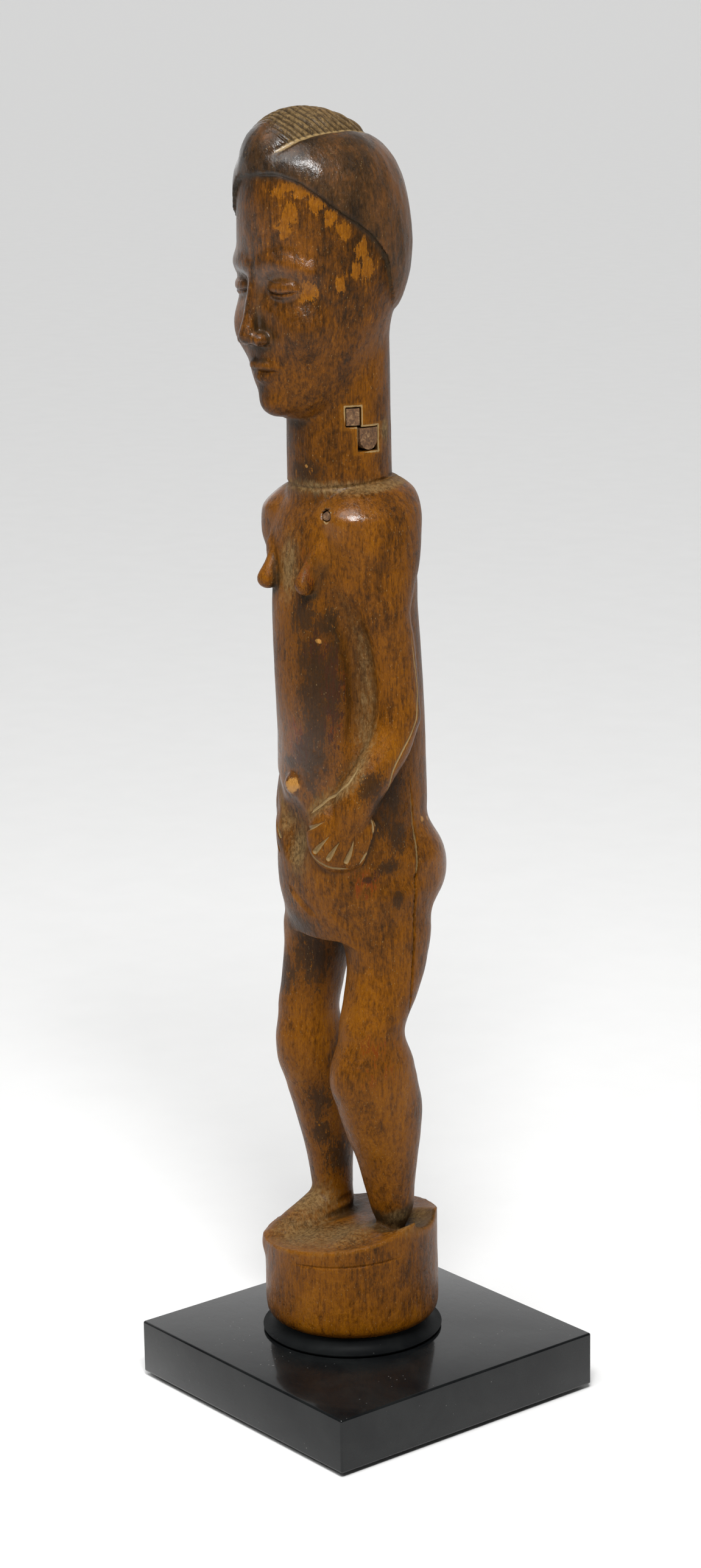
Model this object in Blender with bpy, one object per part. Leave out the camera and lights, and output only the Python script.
"""Standing ancestor figure carved from one block of hardwood, on a black display base.

Frame: +Z up, the figure faces -Y and its left side is +X. The origin is on the ground under the
middle of the square plinth. All sizes below are in millimetres and are scaled once, by MM.
"""

import math

import bmesh
import bpy
from mathutils import Matrix, Vector

MM = 0.001

# ---------------------------------------------------------------- driving dimensions (mm)
GAP = 0.3                     # clearance between pieces that touch or fit into each other
PAD_RADIUS = 7.0
PAD_THICKNESS = 1.2
PAD_INSET = 12.0              # pad centre from the plinth's edges
PLINTH_SIDE = 100.0
PLINTH_THICKNESS = 17.0
PLINTH_BOTTOM = PAD_THICKNESS + GAP
PLINTH_TOP = PLINTH_BOTTOM + PLINTH_THICKNESS
RISER_BOTTOM = PLINTH_TOP + GAP
RISER_TOP = RISER_BOTTOM + 4.7
RISER_FOOT_RADIUS = 28.0
RISER_HEAD_RADIUS = 24.0
BLOCK_BOTTOM = RISER_TOP + GAP
AXIS_X, AXIS_Y = -4.5, -1.5   # the pedestal's axis on the plinth

SCREW_SPACING = 22.0          # between the two mounting screws, front to back
SCREW_SHANK_RADIUS = 2.0
SCREW_HEAD_RADIUS = 4.0
SCREW_HEAD_HEIGHT = 2.4
SCREW_DEPTH_IN_BLOCK = 14.0
WASHER_RADIUS = 4.8
WASHER_THICKNESS = 0.8
COUNTERBORE_RADIUS = 5.4
COUNTERBORE_DEPTH = 6.0

RING_SIDES = 40
BLOCK_VOXEL = 1.0
BLOCK_TRIANGLES = 9000

# ---------------------------------------------------------------- the carving's stations (mm)
# height, centre x, centre y, half width, half depth; heights above the ground,
# centres measured from the pedestal's axis
TRUNK = [
    (148, 0, 3.0, 17, 17), (154, 0, 2.5, 21, 18.5), (163, 0, 2.0, 22.5, 19.5), (175, 0, 2.5, 21.5, 20.5),
    (190, 0, 3.5, 20, 22.5), (205, 0, 3.5, 19.5, 23), (225, 0, 3.0, 19, 23.5), (245, 0, 2.0, 19.5, 22.5),
    (258, 0, 1.5, 22, 20.5), (268, 0, 1.5, 23, 19.5), (276, 0, 2.0, 23, 18.5), (282, 0, 3.5, 21, 16.5),
    (286, 0, 5.0, 16.5, 13), (288, 0, 6.0, 9, 7),
]
NECK = [(270, 0, 0.3, 15.4, 15.5), (338, 0, 0.0, 15.4, 15.5)]
HEAD = [
    (306, 0, -12, 5, 6), (309, 0, -11, 9.5, 11), (314, 0, -10, 13, 15), (322, 0, -8.5, 16.5, 18.5),
    (334, 0, -7, 20, 22), (346, 0, -5, 22, 25.5), (358, 0, -4.5, 22.5, 26.5), (368, 0, -5, 22, 26),
    (376, 0, -6, 20.5, 24), (383, 0, -7, 16.5, 19.5), (388, 0, -7, 9, 12), (390, 0, -7, 3, 4),
]
HAIR = [
    (333, 0, 6.5, 10, 7), (336, 0, 4.0, 15.5, 13), (341, 0, -0.5, 20.5, 20.5), (348, 0, -3, 22.7, 25),
    (357, 0, -4, 23.7, 27.8), (366, 0, -4.5, 23.3, 27.4), (373, 0, -5.5, 22.4, 26.4), (378, 0, -6, 21, 24.6),
    (383, 0, -7, 18, 21.2), (387, 0, -7, 13.5, 15.5), (389.5, 0, -7, 6, 8),
]
# the hairline seen from the side: depth, height
HAIRLINE = [
    (-28, 376.8), (-23.5, 374), (-16, 367.2), (-5, 359), (1.5, 352), (4.5, 343.2), (8, 337), (20, 334),
]
LEFT_LEG = [
    (52, 14, 5.5, 2.5, 2.5), (55, 14, 5, 4.2, 4.2), (60, 14, 5, 6.2, 6.4), (68, 14.5, 4, 7.6, 7.8),
    (77, 15, 3, 9, 9.5), (86, 15, 1.5, 10.4, 12), (95, 15, 0, 11, 14), (103, 15.5, -2.5, 11, 14.5),
    (108, 15.5, -3, 11, 14), (119, 15, -3, 9.6, 10.3), (130, 14.5, 1.5, 10.5, 11.5),
    (140, 13.5, 5, 11.2, 12.8), (150, 13, 5.5, 12, 14.5), (162, 12, 5, 11, 13), (170, 11, 4, 6, 8),
]
RIGHT_LEG = [
    (50, -14, 4.5, 5.5, 5.5), (60, -14, 4.5, 6.2, 6.4), (68, -14.5, 4, 6.8, 7), (77, -15, 3.5, 8, 8.6),
    (86, -15, 3, 9.4, 10.4), (95, -15, 1.5, 10.2, 11.6), (104, -15.5, -1.5, 10.6, 11.9),
    (110, -15.5, -2.5, 10.4, 11.5), (120, -15.5, -3, 9.4, 9.6), (128, -15, -2, 9.4, 10),
    (140, -13.5, 0, 10.2, 11), (150, -13, 3, 12, 14), (162, -12, 5, 11, 13), (170, -11, 4, 6, 8),
]
UPPER_ARM = [
    (212, 20, 4.2, 5.5, 5.5), (217, 20, 4, 7.2, 7.4), (223, 20, 4, 7.2, 7.3), (231, 19.5, 3.5, 7.2, 7.2),
    (240, 19.5, 2, 7.5, 7.6), (249, 19.5, 0, 8, 8.3), (254, 18.5, 0.5, 8.6, 9.8), (262, 17.5, 1, 9.5, 12.6),
    (270, 16, 1, 10.6, 15), (277, 14.5, 1.5, 11, 15.5), (283, 12.5, 3.5, 8.5, 13), (287, 10, 5.5, 4, 8),
]
# round limbs: x, y, height, radius
LEFT_FOREARM = [
    (20, 4, 217, 7.2), (20.5, 1, 209, 6.7), (20, -4.5, 201, 6.2), (18, -9.5, 193, 6.2), (16.5, -12, 186, 6),
]
RIGHT_FOREARM = [
    (-20, 4, 217, 7.2), (-20.4, 2.6, 209, 6.3), (-18.8, -1, 200, 5.8), (-16.4, -5.4, 192, 5.5),
    (-14.4, -8.6, 185.5, 4.9),
]
BREAST = [(11.4, -14.4, 270, 2.6), (10.4, -17.4, 264, 3.6), (9.0, -19.8, 258, 3.7)]
RIGHT_FOOT = [(-14.3, 4, 54.5, 6.3), (-14.3, -6, 50, 6.5), (-13.5, -14, 47, 6), (-12.5, -18, 45.5, 5.2)]
LEFT_FOOT = [(14, 2, 50.5, 5), (13.5, -6, 50, 6), (12.5, -13, 48.5, 5.5)]

PEDESTAL_RADIUS = 26.9
PEDESTAL_RIM = 52.5           # height of the rim at the axis, before its slope
PEDESTAL_SLOPE_X, PEDESTAL_SLOPE_Y = 0.10, 0.07
PEDESTAL_LIP = 4.5            # extra height of the rim outside the left ankle
LIP_PLACE, LIP_SPREAD = (22, 8), (12, 14)

# egg-shaped masses: centre and half axes
CREST_CENTRE, CREST_HALF_AXES = (-0.8, -9.2, 379.6), (14.2, 21.8, 15.4)
SEAT_CENTRE, SEAT_HALF_AXES = (11, 13.5, 168), (12.5, 14, 16)
LEFT_HAND_CENTRE, LEFT_HAND_HALF_AXES, LEFT_HAND_TURN = (14.5, -12.5, 181.5), (10.5, 5, 11.2), 49.0
RIGHT_HAND_CENTRE, RIGHT_HAND_HALF_AXES, RIGHT_HAND_TURN = (-12.2, -10.6, 179.3), (9.8, 4.8, 11.2), -45.0
ANKLE_HOLLOW_CENTRE, ANKLE_HOLLOW_HALF_AXES = (14.5, 6, 58), (11, 12, 5)

# the flat sheet of space that is cut away below the hairline: how far it reaches each way
BELOW_HAIR_REACH, BELOW_HAIR_FLOOR = 40.0, 300.0

PEG_WIDTH, PEG_HEIGHT, PEG_DEPTH = 4.0, 5.0, 4.0
PEG_HEIGHT_ABOVE_GROUND = 306.2
PEG_BEARING = 69.0            # degrees round the neck from the front, towards the left
PATCH_WIDTH, PATCH_HEIGHT, PATCH_DEPTH = 6.2, 6.4, 3.5
PATCH_HEIGHT_ABOVE_GROUND = 299.6
PATCH_BEARING = 88.0
NECK_RADIUS = 15.45
PLUG_RADIUS, PLUG_DEPTH = 1.2, 6.0
PLUG_PLACE = (12.8, -14.9, 278.0)
PLUG_BEARING = 41.0


# ---------------------------------------------------------------- helpers
def clear_scene():
    for found in list(bpy.data.objects):
        bpy.data.objects.remove(found, do_unlink=True)


def finish(name, colour, roughness, metallic):
    made = bpy.data.materials.new(name)
    made.use_nodes = True
    shader = made.node_tree.nodes["Principled BSDF"]
    shader.inputs["Base Color"].default_value = (*colour, 1.0)
    shader.inputs["Roughness"].default_value = roughness
    shader.inputs["Metallic"].default_value = metallic
    return made


def object_from(name, shape, material=None):
    mesh = bpy.data.meshes.new(name)
    bmesh.ops.recalc_face_normals(shape, faces=shape.faces)
    shape.to_mesh(mesh)
    shape.free()
    made = bpy.data.objects.new(name, mesh)
    bpy.context.scene.collection.objects.link(made)
    if material:
        mesh.materials.append(material)
    return made


def only_select(made):
    bpy.ops.object.select_all(action="DESELECT")
    made.select_set(True)
    bpy.context.view_layer.objects.active = made


def apply_modifiers(made):
    only_select(made)
    for modifier in list(made.modifiers):
        bpy.ops.object.modifier_apply(modifier=modifier.name)


def drop(made):
    bpy.data.objects.remove(made, do_unlink=True)


def cut_away(made, cutter):
    change = made.modifiers.new("cut", "BOOLEAN")
    change.operation = "DIFFERENCE"
    change.solver = "EXACT"
    change.object = cutter
    apply_modifiers(made)
    drop(cutter)


def keep_common(made, other):
    change = made.modifiers.new("common", "BOOLEAN")
    change.operation = "INTERSECT"
    change.solver = "EXACT"
    change.object = other
    apply_modifiers(made)
    drop(other)


def from_axis(x, y, height):
    return Vector(((AXIS_X + x) * MM, (AXIS_Y + y) * MM, height * MM))


def between(p, q, r, s, t):
    """Catmull-Rom value at share t of the way from q to r."""
    bend = (2 * p - 5 * q + 4 * r - s) * t ** 2 + (3 * q - p - 3 * r + s) * t ** 3
    return 0.5 * (2 * q + (r - p) * t + bend)


def smooth_stations(stations, steps=3):
    """Adds in-between stations on a Catmull-Rom curve through the given ones."""
    rows = [stations[0]] + list(stations) + [stations[-1]]
    out = []
    for i in range(1, len(rows) - 2):
        a, b, c, d = rows[i - 1:i + 3]
        for k in range(steps):
            t = k / steps
            out.append(tuple(between(*values, t) for values in zip(a, b, c, d)))
    out.append(tuple(stations[-1]))
    return out


def loft(name, stations, squareness=2.0, mirror=1):
    """Skins stacked rounded-rectangle rings; squareness 2 is an ellipse."""
    shape = bmesh.new()
    rings = []
    for height, x, y, half_width, half_depth in smooth_stations(stations):
        ring = []
        for k in range(RING_SIDES):
            angle = 2 * math.pi * k / RING_SIDES
            c, s = math.cos(angle), math.sin(angle)
            reach = (abs(c) ** squareness + abs(s) ** squareness) ** (-1 / squareness)
            across, along = half_width * reach * c, half_depth * reach * s
            ring.append(shape.verts.new(from_axis(mirror * x + across, y + along, height)))
        rings.append(ring)
    for low, high in zip(rings[:-1], rings[1:]):
        for k in range(RING_SIDES):
            j = (k + 1) % RING_SIDES
            shape.faces.new((low[k], low[j], high[j], high[k]))
    shape.faces.new(rings[0])
    shape.faces.new(rings[-1])
    return object_from(name, shape)


def ball(name, x, y, height, radii, turn=0.0):
    """An egg-shaped mass, turned about the vertical."""
    shape = bmesh.new()
    place = Matrix.Translation(from_axis(x, y, height)) @ Matrix.Rotation(math.radians(turn), 4, "Z")
    size = Matrix.Diagonal((*(r * MM for r in radii), 1.0))
    bmesh.ops.create_uvsphere(shape, u_segments=32, v_segments=20, radius=1.0, matrix=place @ size)
    return object_from(name, shape)


def limb(name, points, mirror=1):
    """Balls strung along a smooth path, close enough to read as one round limb."""
    shape = bmesh.new()
    for x, y, height, radius in smooth_stations(points, steps=6):
        place = Matrix.Translation(from_axis(mirror * x, y, height))
        bmesh.ops.create_icosphere(shape, subdivisions=3, radius=radius * MM, matrix=place)
    return object_from(name, shape)


def turned(name, profile, sides, material, x=0.0, y=0.0):
    """A closed turned piece; the profile is radius, height pairs from the top down the outside."""
    shape = bmesh.new()
    points = [shape.verts.new((radius * MM, 0, height * MM)) for radius, height in profile]
    edges = [shape.edges.new(pair) for pair in zip(points[:-1], points[1:])]
    bmesh.ops.spin(shape, geom=points + edges, cent=(0, 0, 0), axis=(0, 0, 1), angle=2 * math.pi,
                   steps=sides, use_merge=True)
    bmesh.ops.remove_doubles(shape, verts=shape.verts, dist=0.00001)
    made = object_from(name, shape, material)
    made.location = ((AXIS_X + x) * MM, (AXIS_Y + y) * MM, 0)
    made.data.shade_smooth()
    made.data.set_sharp_from_angle(angle=math.radians(35))
    return made


def tube_cutter(radius, low, high, x, y):
    profile = [(0, high), (radius, high), (radius, low), (0, low)]
    return turned("cutter", profile, 32, None, x, y)


def box_at(name, place, size, bearing, material=None):
    """A box whose outer face looks away from the figure's axis, at a bearing from the front."""
    shape = bmesh.new()
    turn = Matrix.Rotation(math.radians(bearing), 4, "Z")
    lie = Matrix.Translation(place) @ turn @ Matrix.Diagonal((*size, 1.0))
    bmesh.ops.create_cube(shape, size=1.0, matrix=lie)
    return object_from(name, shape, material)


def outward(bearing):
    angle = math.radians(bearing)
    return Vector((math.sin(angle), -math.cos(angle), 0))


# ---------------------------------------------------------------- the carved block
def rim_height(x, y):
    along, back = (x - LIP_PLACE[0]) / LIP_SPREAD[0], (y - LIP_PLACE[1]) / LIP_SPREAD[1]
    lip = PEDESTAL_LIP * math.exp(-along ** 2 - back ** 2)
    return PEDESTAL_RIM + PEDESTAL_SLOPE_X * x + PEDESTAL_SLOPE_Y * y + lip


def pedestal(name):
    """The round drum under the feet, with its sloping, hollowed top."""
    wall = [(24.5, BLOCK_BOTTOM - 2), (24.5, BLOCK_BOTTOM), (26.4, BLOCK_BOTTOM + 2.2),
            (PEDESTAL_RADIUS, BLOCK_BOTTOM + 7)]
    shape = bmesh.new()
    rings = []
    for radius, height in wall:
        rings.append([(radius * math.cos(a), radius * math.sin(a), height) for a in turns(RING_SIDES)])
    for share in (1.0, 0.98, 0.85, 0.6, 0.3):
        radius = PEDESTAL_RADIUS * share
        drop_at_edge = 1.2 if share == 1.0 else 0.0
        rings.append([(radius * math.cos(a), radius * math.sin(a),
                       rim_height(radius * math.cos(a), radius * math.sin(a)) - drop_at_edge)
                      for a in turns(RING_SIDES)])
    rings = [[shape.verts.new(from_axis(*point)) for point in ring] for ring in rings]
    for low, high in zip(rings[:-1], rings[1:]):
        for k in range(RING_SIDES):
            j = (k + 1) % RING_SIDES
            shape.faces.new((low[k], low[j], high[j], high[k]))
    shape.faces.new(rings[0])
    shape.faces.new(rings[-1])
    made = object_from(name, shape)
    cut_away(made, ball("hollow", *ANKLE_HOLLOW_CENTRE, ANKLE_HOLLOW_HALF_AXES))
    return made


def turns(count):
    return [2 * math.pi * k / count for k in range(count)]


def hair(name):
    made = loft(name, HAIR)
    shape = bmesh.new()
    reach, floor = BELOW_HAIR_REACH, BELOW_HAIR_FLOOR
    front, nape = HAIRLINE[0][1], HAIRLINE[-1][1]
    outline = [(-reach, front)] + HAIRLINE + [(reach, nape), (reach, floor), (-reach, floor)]
    face = shape.faces.new([shape.verts.new(from_axis(-reach, y, height)) for y, height in outline])
    grown = bmesh.ops.extrude_face_region(shape, geom=[face])
    new = [v for v in grown["geom"] if isinstance(v, bmesh.types.BMVert)]
    bmesh.ops.translate(shape, verts=new, vec=(2 * reach * MM, 0, 0))
    cut_away(made, object_from("below_the_hairline", shape))
    return made


def carved_masses():
    masses = [
        loft("trunk", TRUNK, 2.2), loft("neck", NECK), loft("head", HEAD), hair("hair"),
        ball("crest", *CREST_CENTRE, CREST_HALF_AXES),
        limb("left_forearm", LEFT_FOREARM), limb("right_forearm", RIGHT_FOREARM),
        ball("left_hand", *LEFT_HAND_CENTRE, LEFT_HAND_HALF_AXES, turn=LEFT_HAND_TURN),
        ball("right_hand", *RIGHT_HAND_CENTRE, RIGHT_HAND_HALF_AXES, turn=RIGHT_HAND_TURN),
        loft("left_leg", LEFT_LEG), loft("right_leg", RIGHT_LEG),
        limb("right_foot", RIGHT_FOOT), limb("left_foot", LEFT_FOOT), pedestal("drum"),
    ]
    for side in (1, -1):
        masses.append(loft("upper_arm", UPPER_ARM, mirror=side))
        masses.append(limb("breast", BREAST, mirror=side))
        across, back, height = SEAT_CENTRE
        masses.append(ball("buttock", side * across, back, height, SEAT_HALF_AXES))
    return masses


def carved_figure():
    """All the masses become one skin, as they are in the block, and are then thinned out."""
    masses = carved_masses()
    bpy.ops.object.select_all(action="DESELECT")
    for mass in masses:
        mass.select_set(True)
    made = masses[0]
    bpy.context.view_layer.objects.active = made
    bpy.ops.object.join()
    made.name = "carved_figure"
    made.data.name = "carved_figure"
    skin = made.modifiers.new("one_skin", "REMESH")
    skin.mode = "VOXEL"
    skin.voxel_size = BLOCK_VOXEL * MM
    soft = made.modifiers.new("knife_work", "SMOOTH")
    soft.factor = 0.5
    soft.iterations = 5
    apply_modifiers(made)
    thin = made.modifiers.new("facets", "DECIMATE")
    thin.ratio = BLOCK_TRIANGLES / (2 * len(made.data.polygons))
    thin.use_collapse_triangulate = True
    apply_modifiers(made)
    made.data.materials.clear()
    made.data.materials.append(finish("waxed_hardwood", (0.23, 0.09, 0.02), 0.38, 0.0))
    under = Vector((AXIS_X * MM, AXIS_Y * MM, (BLOCK_BOTTOM - 10) * MM))
    cut_away(made, box_at("sawn_flat", under, (80 * MM, 80 * MM, 20 * MM), 0))
    for y in (-SCREW_SPACING / 2, SCREW_SPACING / 2):
        top = BLOCK_BOTTOM + SCREW_DEPTH_IN_BLOCK + 1.0
        cut_away(made, tube_cutter(SCREW_SHANK_RADIUS + GAP, BLOCK_BOTTOM - 5, top, 0, y))
    cut_away(made, neck_peg_shape("socket", GAP))
    cut_away(made, neck_patch_shape("socket", GAP))
    cut_away(made, chest_plug_shape("socket", GAP))
    made.data.shade_smooth()
    made.data.set_sharp_from_angle(angle=math.radians(45))
    return made


# ---------------------------------------------------------------- let-in repairs
def neck_peg_shape(name, clearance, material=None):
    """Clearance widens every side; a socket also runs on outwards past the skin."""
    run_out = 6.0 if clearance else 0.0
    inner = NECK_RADIUS - 0.8 - PEG_DEPTH - clearance
    outer = NECK_RADIUS - 0.8 + run_out
    centre = from_axis(0, 0, PEG_HEIGHT_ABOVE_GROUND) + outward(PEG_BEARING) * (inner + outer) / 2 * MM
    size = ((PEG_WIDTH + 2 * clearance) * MM, (outer - inner) * MM, (PEG_HEIGHT + 2 * clearance) * MM)
    return box_at(name, centre, size, PEG_BEARING, material)


def neck_patch_shape(name, clearance, material=None):
    """A tongue with a round lower end, let into the neck; its face is turned to the neck's radius."""
    run_out = 6.0 if clearance else 2.0
    half = PATCH_WIDTH / 2 + clearance
    top = PATCH_HEIGHT / 2 + clearance
    round_centre = -PATCH_HEIGHT / 2 + PATCH_WIDTH / 2
    outline = [(-half, top), (half, top)]
    outline += [(half * math.cos(a), round_centre - half * math.sin(a)) for a in arc(0, math.pi, 12)]
    inner = NECK_RADIUS - 0.1 - PATCH_DEPTH - clearance
    outer = NECK_RADIUS + run_out
    side = Vector((math.cos(math.radians(PATCH_BEARING)), math.sin(math.radians(PATCH_BEARING)), 0))
    out = outward(PATCH_BEARING)
    middle = from_axis(0, 0, PATCH_HEIGHT_ABOVE_GROUND)
    shape = bmesh.new()
    face = shape.faces.new([
        shape.verts.new(middle + side * across * MM + out * inner * MM + Vector((0, 0, up * MM)))
        for across, up in outline])
    grown = bmesh.ops.extrude_face_region(shape, geom=[face])
    new = [v for v in grown["geom"] if isinstance(v, bmesh.types.BMVert)]
    bmesh.ops.translate(shape, verts=new, vec=out * (outer - inner) * MM)
    made = object_from(name, shape, material)
    if not clearance:
        keep_common(made, tube_cutter(NECK_RADIUS - 0.1, 280, 320, 0, 0))
    return made


def chest_plug_shape(name, clearance, material=None):
    """A round dowel driven into the chest, level with the skin."""
    length = PLUG_DEPTH + (5.0 if clearance else 0.0)
    shape = bmesh.new()
    out = outward(PLUG_BEARING)
    centre = from_axis(*PLUG_PLACE) - out * (PLUG_DEPTH + clearance - length / 2) * MM
    lie = out.to_track_quat("Z", "Y").to_matrix().to_4x4()
    bmesh.ops.create_cone(shape, cap_ends=True, segments=24, radius1=(PLUG_RADIUS + clearance) * MM,
                          radius2=(PLUG_RADIUS + clearance) * MM, depth=length * MM,
                          matrix=Matrix.Translation(centre) @ lie)
    return object_from(name, shape, material)


def arc(start, end, steps):
    return [start + (end - start) * k / steps for k in range(steps + 1)]


# ---------------------------------------------------------------- the display base
def riser_disc(material):
    rise = RISER_TOP - RISER_BOTTOM
    lip = [(RISER_FOOT_RADIUS - 0.8 + 0.8 * math.cos(a), RISER_BOTTOM + 0.8 - 0.8 * math.sin(a))
           for a in arc(0, math.pi / 2, 4)]
    cove = [(RISER_HEAD_RADIUS + 3.2 * (1 - math.cos(a)), RISER_TOP - (rise - 0.8) * math.sin(a))
            for a in arc(0, math.pi / 2, 6)]
    made = turned("riser_disc", [(0, RISER_TOP)] + cove + lip + [(0, RISER_BOTTOM)], 64, material)
    for y in (-SCREW_SPACING / 2, SCREW_SPACING / 2):
        cut_away(made, tube_cutter(SCREW_SHANK_RADIUS + GAP, RISER_BOTTOM - 5, RISER_TOP + 5, 0, y))
    return made


def plinth(material):
    made = box_at("plinth", Vector((0, 0, (PLINTH_BOTTOM + PLINTH_TOP) / 2 * MM)),
                  (PLINTH_SIDE * MM, PLINTH_SIDE * MM, PLINTH_THICKNESS * MM), 0, material)
    eased = made.modifiers.new("eased_edges", "BEVEL")
    eased.width = 0.7 * MM
    eased.segments = 3
    apply_modifiers(made)
    for y in (-SCREW_SPACING / 2, SCREW_SPACING / 2):
        cut_away(made, tube_cutter(SCREW_SHANK_RADIUS + GAP, PLINTH_BOTTOM - 5, PLINTH_TOP + 5, 0, y))
        floor = PLINTH_BOTTOM + COUNTERBORE_DEPTH
        cut_away(made, tube_cutter(COUNTERBORE_RADIUS, PLINTH_BOTTOM - 5, floor, 0, y))
    made.data.shade_smooth()
    made.data.set_sharp_from_angle(angle=math.radians(35))
    return made


def washer(name, y, material):
    top = PLINTH_BOTTOM + COUNTERBORE_DEPTH - GAP
    bottom = top - WASHER_THICKNESS
    hole = SCREW_SHANK_RADIUS + GAP
    profile = [(hole, top), (WASHER_RADIUS, top), (WASHER_RADIUS, bottom), (hole, bottom), (hole, top)]
    return turned(name, profile, 40, material, 0, y)


def mount_screw(name, y, material):
    seat = PLINTH_BOTTOM + COUNTERBORE_DEPTH - 2 * GAP - WASHER_THICKNESS
    tip = BLOCK_BOTTOM + SCREW_DEPTH_IN_BLOCK
    low = seat - SCREW_HEAD_HEIGHT
    dome = [(SCREW_HEAD_RADIUS * math.cos(a), seat - 0.9 - (SCREW_HEAD_HEIGHT - 0.9) * math.sin(a))
            for a in arc(0, math.pi / 2, 5)]
    shank = [(0, tip), (SCREW_SHANK_RADIUS, tip - 5), (SCREW_SHANK_RADIUS, seat)]
    profile = shank + [(SCREW_HEAD_RADIUS, seat)] + dome
    made = turned(name, profile, 32, material, 0, y)
    slot = box_at("slot", from_axis(0, y, low), (12 * MM, 0.9 * MM, 1.9 * MM), 35)
    cut_away(made, slot)
    return made


def felt_pad(name, x, y, material):
    profile = [(0, PAD_THICKNESS), (PAD_RADIUS, PAD_THICKNESS), (PAD_RADIUS, 0), (0, 0)]
    return turned(name, profile, 36, material, x - AXIS_X, y - AXIS_Y)


def build():
    clear_scene()
    carved_figure()
    filler = finish("old_let_in_wood", (0.17, 0.07, 0.02), 0.6, 0.0)
    neck_peg_shape("neck_peg", 0.0, filler)
    neck_patch_shape("neck_patch", 0.0, filler)
    chest_plug_shape("chest_plug", 0.0, filler)
    lacquer = finish("black_lacquer", (0.008, 0.009, 0.009), 0.18, 0.0)
    riser_disc(lacquer)
    plinth(lacquer)
    steel = finish("zinc_plated_steel", (0.55, 0.55, 0.52), 0.35, 1.0)
    for place, y in (("front", -SCREW_SPACING / 2), ("rear", SCREW_SPACING / 2)):
        washer("washer_" + place, y, steel)
        mount_screw("mount_screw_" + place, y, steel)
    felt = finish("black_felt", (0.02, 0.02, 0.02), 0.95, 0.0)
    out = PLINTH_SIDE / 2 - PAD_INSET
    for depth, y in (("front", -out), ("rear", out)):
        for side, x in (("left", out), ("right", -out)):
            felt_pad("felt_pad_" + depth + "_" + side, x, y, felt)


build()
